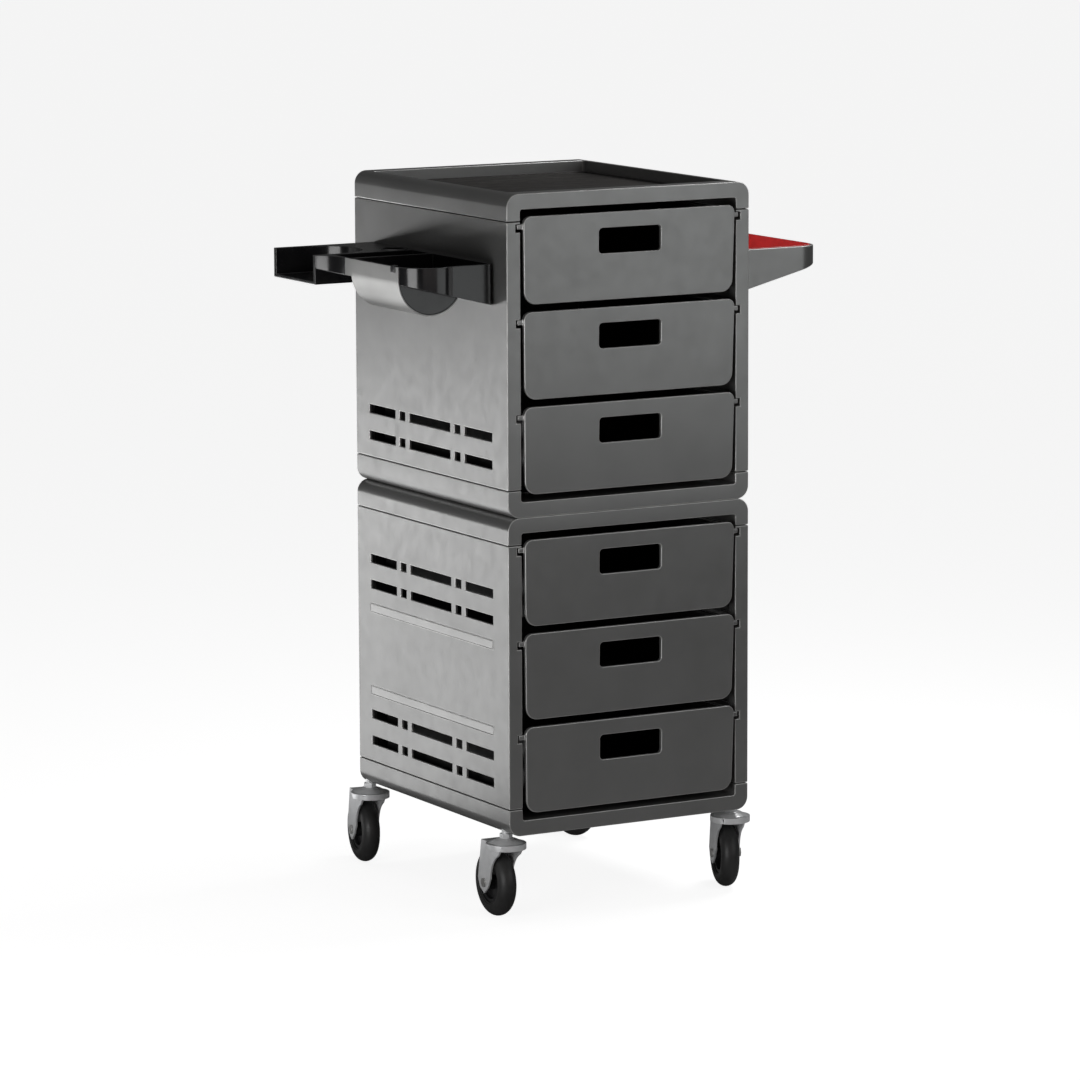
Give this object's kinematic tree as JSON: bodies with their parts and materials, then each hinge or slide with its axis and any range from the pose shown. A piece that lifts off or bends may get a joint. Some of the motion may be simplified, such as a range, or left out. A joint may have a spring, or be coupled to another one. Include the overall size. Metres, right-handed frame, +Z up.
{
  "type": "salon trolley",
  "caption": "Rolling salon cart: two stacked drawer modules on swivel castors, recessed top, side tool holder with dryer channel and a lined side tray.",
  "frame": {"origin": "on the floor, at the middle of the overall box in X and Y", "axes": "+Z up; +X to the right seen from the drawers; the drawers face and open towards -Y"},
  "size_m": [0.559, 0.431, 0.84],
  "materials": {
    "body_metallic": "satin metallic grey moulding",
    "back_plastic": "matt dark grey",
    "tub_plastic": "matt charcoal",
    "insert_mat": "matt brown-black",
    "black_gloss": "gloss black",
    "silver_trim": "satin silver",
    "red_liner": "gloss translucent red",
    "castor_chrome": "bright zinc",
    "fastener_steel": "zinc plated",
    "tyre_rubber": "matt black rubber",
    "hub_plastic": "matt black"
  },
  "bodies": {
    "frame": {"upper_top_cap": "body_metallic", "upper_left_panel": "body_metallic", "upper_right_panel": "body_metallic", "upper_back_panel": "back_plastic", "upper_bottom_cap": "body_metallic", "lower_top_cap": "body_metallic", "lower_left_panel": "body_metallic", "lower_right_panel": "body_metallic", "lower_back_panel": "back_plastic", "lower_bottom_cap": "body_metallic", "cap_dowels": "fastener_steel", "joining_bolts": "fastener_steel", "joining_nuts": "fastener_steel", "back_screws": "fastener_steel", "tool_holder": "black_gloss", "holder_trough": "silver_trim", "trough_clip": "black_gloss", "side_tray": "body_metallic", "castor_stems": "castor_chrome", "castor_nuts": "castor_chrome", "castor_races": "castor_chrome"},
    "top_insert_body": {"top_insert": "insert_mat"},
    "liner_body": {"tray_liner": "red_liner"},
    "drawer_1": {"drawer_1_front": "body_metallic", "drawer_1_tub": "tub_plastic"},
    "drawer_2": {"drawer_2_front": "body_metallic", "drawer_2_tub": "tub_plastic"},
    "drawer_3": {"drawer_3_front": "body_metallic", "drawer_3_tub": "tub_plastic"},
    "drawer_4": {"drawer_4_front": "body_metallic", "drawer_4_tub": "tub_plastic"},
    "drawer_5": {"drawer_5_front": "body_metallic", "drawer_5_tub": "tub_plastic"},
    "drawer_6": {"drawer_6_front": "body_metallic", "drawer_6_tub": "tub_plastic"},
    "castor_fl": {"castor_fl_fork": "castor_chrome", "castor_fl_axle": "fastener_steel"},
    "wheel_fl": {"castor_fl_hub": "hub_plastic", "castor_fl_tyre": "tyre_rubber"},
    "castor_fr": {"castor_fr_fork": "castor_chrome", "castor_fr_axle": "fastener_steel"},
    "wheel_fr": {"castor_fr_hub": "hub_plastic", "castor_fr_tyre": "tyre_rubber"},
    "castor_bl": {"castor_bl_fork": "castor_chrome", "castor_bl_axle": "fastener_steel"},
    "wheel_bl": {"castor_bl_hub": "hub_plastic", "castor_bl_tyre": "tyre_rubber"},
    "castor_br": {"castor_br_fork": "castor_chrome", "castor_br_axle": "fastener_steel"},
    "wheel_br": {"castor_br_hub": "hub_plastic", "castor_br_tyre": "tyre_rubber"}
  },
  "joints": [
    {"name": "top_insert_lift", "type": "slide", "parent": "frame", "child": "top_insert_body", "axis": [0, 0, 1], "range_m": [0, 0.04]},
    {"name": "liner_lift", "type": "slide", "parent": "frame", "child": "liner_body", "axis": [0, 0, 1], "range_m": [0, 0.06]},
    {"name": "drawer_1_slide", "type": "slide", "parent": "frame", "child": "drawer_1", "axis": [0, -1, 0], "range_m": [0, 0.26]},
    {"name": "drawer_2_slide", "type": "slide", "parent": "frame", "child": "drawer_2", "axis": [0, -1, 0], "range_m": [0, 0.26]},
    {"name": "drawer_3_slide", "type": "slide", "parent": "frame", "child": "drawer_3", "axis": [0, -1, 0], "range_m": [0, 0.26]},
    {"name": "drawer_4_slide", "type": "slide", "parent": "frame", "child": "drawer_4", "axis": [0, -1, 0], "range_m": [0, 0.26]},
    {"name": "drawer_5_slide", "type": "slide", "parent": "frame", "child": "drawer_5", "axis": [0, -1, 0], "range_m": [0, 0.26]},
    {"name": "drawer_6_slide", "type": "slide", "parent": "frame", "child": "drawer_6", "axis": [0, -1, 0], "range_m": [0, 0.26]},
    {"name": "castor_fl_swivel", "type": "hinge", "parent": "frame", "child": "castor_fl", "pos_m": [-0.1395, -0.18767, 0.091], "axis": [0, 0, 1], "continuous": true},
    {"name": "wheel_fl_spin", "type": "hinge", "parent": "castor_fl", "child": "wheel_fl", "pos_m": [-0.13809, -0.16071, 0.04], "axis": [-0.9986, 0.0523, 0], "continuous": true},
    {"name": "castor_fr_swivel", "type": "hinge", "parent": "frame", "child": "castor_fr", "pos_m": [0.1625, -0.18767, 0.091], "axis": [0, 0, 1], "continuous": true},
    {"name": "wheel_fr_spin", "type": "hinge", "parent": "castor_fr", "child": "wheel_fr", "pos_m": [0.17084, -0.162, 0.04], "axis": [-0.9511, 0.309, 0], "continuous": true},
    {"name": "castor_bl_swivel", "type": "hinge", "parent": "frame", "child": "castor_bl", "pos_m": [-0.1395, 0.14933, 0.091], "axis": [0, 0, 1], "continuous": true},
    {"name": "wheel_bl_spin", "type": "hinge", "parent": "castor_bl", "child": "wheel_bl", "pos_m": [-0.13481, 0.17592, 0.04], "axis": [-0.9848, 0.1736, 0], "continuous": true},
    {"name": "castor_br_swivel", "type": "hinge", "parent": "frame", "child": "castor_br", "pos_m": [0.1625, 0.14933, 0.091], "axis": [0, 0, 1], "continuous": true},
    {"name": "wheel_br_spin", "type": "hinge", "parent": "castor_br", "child": "wheel_br", "pos_m": [0.15781, 0.17592, 0.04], "axis": [-0.9848, -0.1736, 0], "continuous": true}
  ]
}
